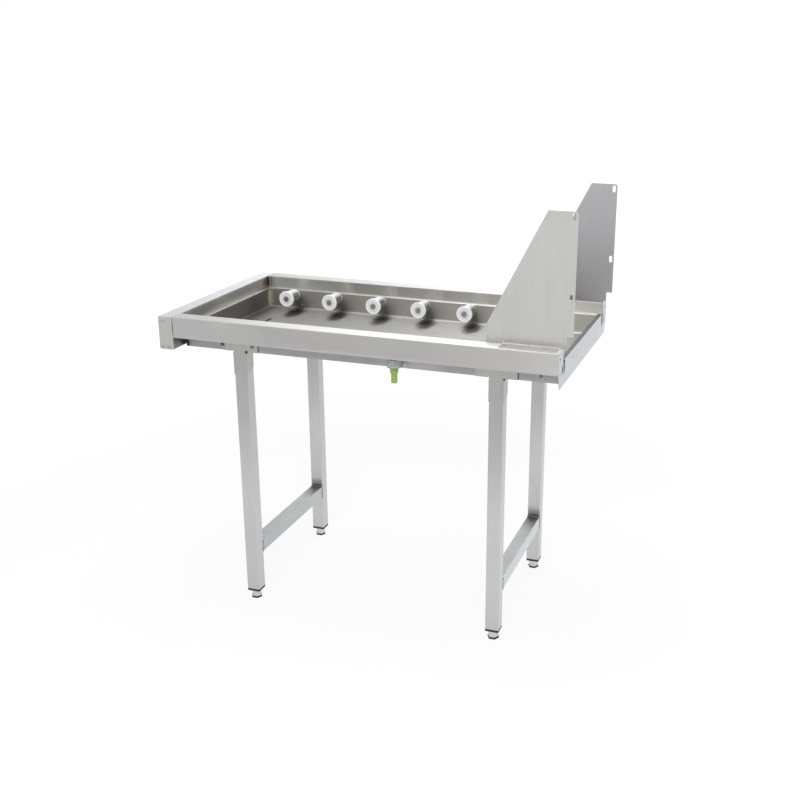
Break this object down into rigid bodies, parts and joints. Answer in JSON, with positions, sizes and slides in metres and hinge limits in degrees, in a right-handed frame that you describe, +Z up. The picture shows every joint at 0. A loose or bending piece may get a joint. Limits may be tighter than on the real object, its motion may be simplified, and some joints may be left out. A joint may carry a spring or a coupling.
{
  "type": "dishwasher roller table",
  "caption": "Stainless steel dishwasher outlet table with a drained tank, stub rollers that carry baskets, upright side guides and screw feet on square legs.",
  "frame": {"origin": "on the floor, at the middle of the object's overall length and width", "axes": "+X along the table towards the end that joins the machine, +Y from the front with the drain to the back, +Z up"},
  "size_m": [1.184, 0.635, 1.242],
  "materials": {
    "brushed_stainless": "brushed stainless steel sheet and tube, grain along each piece, satin",
    "bright_steel": "turned and plated steel fasteners, axles and screw feet",
    "white_plastic": "moulded white plastic, smooth satin",
    "black_plastic": "moulded black plastic, satin",
    "grey_plastic": "moulded translucent grey plastic, satin",
    "green_plastic": "moulded green plastic, satin",
    "black_rubber": "black rubber seals"
  },
  "bodies": {
    "table": {"tank_floor": "brushed_stainless", "tank_front_wall": "brushed_stainless", "tank_rear_wall": "brushed_stainless", "tank_end_walls": "brushed_stainless", "floor_slot_seal": "black_rubber", "front_rail": "brushed_stainless", "rear_rail": "brushed_stainless", "left_end_rail": "brushed_stainless", "left_end_caps": "brushed_stainless", "right_apron": "brushed_stainless", "front_angle": "brushed_stainless", "rear_angle": "brushed_stainless", "bracket_front_left": "brushed_stainless", "bracket_front_right": "brushed_stainless", "bracket_rear_left": "brushed_stainless", "bracket_rear_right": "brushed_stainless", "leg_front_left": "brushed_stainless", "leg_front_right": "brushed_stainless", "leg_rear_left": "brushed_stainless", "leg_rear_right": "brushed_stainless", "crossbar_left": "brushed_stainless", "crossbar_right": "brushed_stainless", "leg_plugs": "black_plastic", "plug_inserts": "bright_steel", "roller_axles": "bright_steel", "roller_spacers": "white_plastic", "roller_washers": "bright_steel", "roller_nuts": "bright_steel", "side_guide_front": "brushed_stainless", "side_guide_rear": "brushed_stainless", "guide_washers": "bright_steel", "guide_nuts": "bright_steel", "tank_washers": "bright_steel", "tank_nuts": "bright_steel", "bonding_screw": "bright_steel", "drain_housing": "grey_plastic", "drain_gaskets": "black_rubber", "drain_ring_nut": "grey_plastic", "drain_spigot": "green_plastic"},
    "roller_front_1": {"roller_front_1": "white_plastic"},
    "roller_front_2": {"roller_front_2": "white_plastic"},
    "roller_front_3": {"roller_front_3": "white_plastic"},
    "roller_front_4": {"roller_front_4": "white_plastic"},
    "roller_front_5": {"roller_front_5": "white_plastic"},
    "roller_rear_1": {"roller_rear_1": "white_plastic"},
    "roller_rear_2": {"roller_rear_2": "white_plastic"},
    "roller_rear_3": {"roller_rear_3": "white_plastic"},
    "roller_rear_4": {"roller_rear_4": "white_plastic"},
    "roller_rear_5": {"roller_rear_5": "white_plastic"},
    "screw_foot_front_left": {"foot_front_left": "bright_steel", "foot_base_front_left": "black_plastic"},
    "screw_foot_front_right": {"foot_front_right": "bright_steel", "foot_base_front_right": "black_plastic"},
    "screw_foot_rear_left": {"foot_rear_left": "bright_steel", "foot_base_rear_left": "black_plastic"},
    "screw_foot_rear_right": {"foot_rear_right": "bright_steel", "foot_base_rear_right": "black_plastic"}
  },
  "joints": [
    {"name": "roller_front_1_spin", "type": "hinge", "parent": "table", "child": "roller_front_1", "pos_m": [-0.445, -0.21875, 0.837], "axis": [0, 1, 0], "continuous": true},
    {"name": "roller_front_2_spin", "type": "hinge", "parent": "table", "child": "roller_front_2", "pos_m": [-0.295, -0.21875, 0.837], "axis": [0, 1, 0], "continuous": true},
    {"name": "roller_front_3_spin", "type": "hinge", "parent": "table", "child": "roller_front_3", "pos_m": [-0.145, -0.21875, 0.837], "axis": [0, 1, 0], "continuous": true},
    {"name": "roller_front_4_spin", "type": "hinge", "parent": "table", "child": "roller_front_4", "pos_m": [0.005, -0.21875, 0.837], "axis": [0, 1, 0], "continuous": true},
    {"name": "roller_front_5_spin", "type": "hinge", "parent": "table", "child": "roller_front_5", "pos_m": [0.155, -0.21875, 0.837], "axis": [0, 1, 0], "continuous": true},
    {"name": "roller_rear_1_spin", "type": "hinge", "parent": "table", "child": "roller_rear_1", "pos_m": [-0.445, 0.21875, 0.837], "axis": [0, 1, 0], "continuous": true},
    {"name": "roller_rear_2_spin", "type": "hinge", "parent": "table", "child": "roller_rear_2", "pos_m": [-0.295, 0.21875, 0.837], "axis": [0, 1, 0], "continuous": true},
    {"name": "roller_rear_3_spin", "type": "hinge", "parent": "table", "child": "roller_rear_3", "pos_m": [-0.145, 0.21875, 0.837], "axis": [0, 1, 0], "continuous": true},
    {"name": "roller_rear_4_spin", "type": "hinge", "parent": "table", "child": "roller_rear_4", "pos_m": [0.005, 0.21875, 0.837], "axis": [0, 1, 0], "continuous": true},
    {"name": "roller_rear_5_spin", "type": "hinge", "parent": "table", "child": "roller_rear_5", "pos_m": [0.155, 0.21875, 0.837], "axis": [0, 1, 0], "continuous": true},
    {"name": "screw_foot_front_left_travel", "type": "slide", "parent": "table", "child": "screw_foot_front_left", "axis": [0, 0, -1], "range_m": [0, 0.02]},
    {"name": "screw_foot_front_right_travel", "type": "slide", "parent": "table", "child": "screw_foot_front_right", "axis": [0, 0, -1], "range_m": [0, 0.02]},
    {"name": "screw_foot_rear_left_travel", "type": "slide", "parent": "table", "child": "screw_foot_rear_left", "axis": [0, 0, -1], "range_m": [0, 0.02]},
    {"name": "screw_foot_rear_right_travel", "type": "slide", "parent": "table", "child": "screw_foot_rear_right", "axis": [0, 0, -1], "range_m": [0, 0.02]}
  ]
}
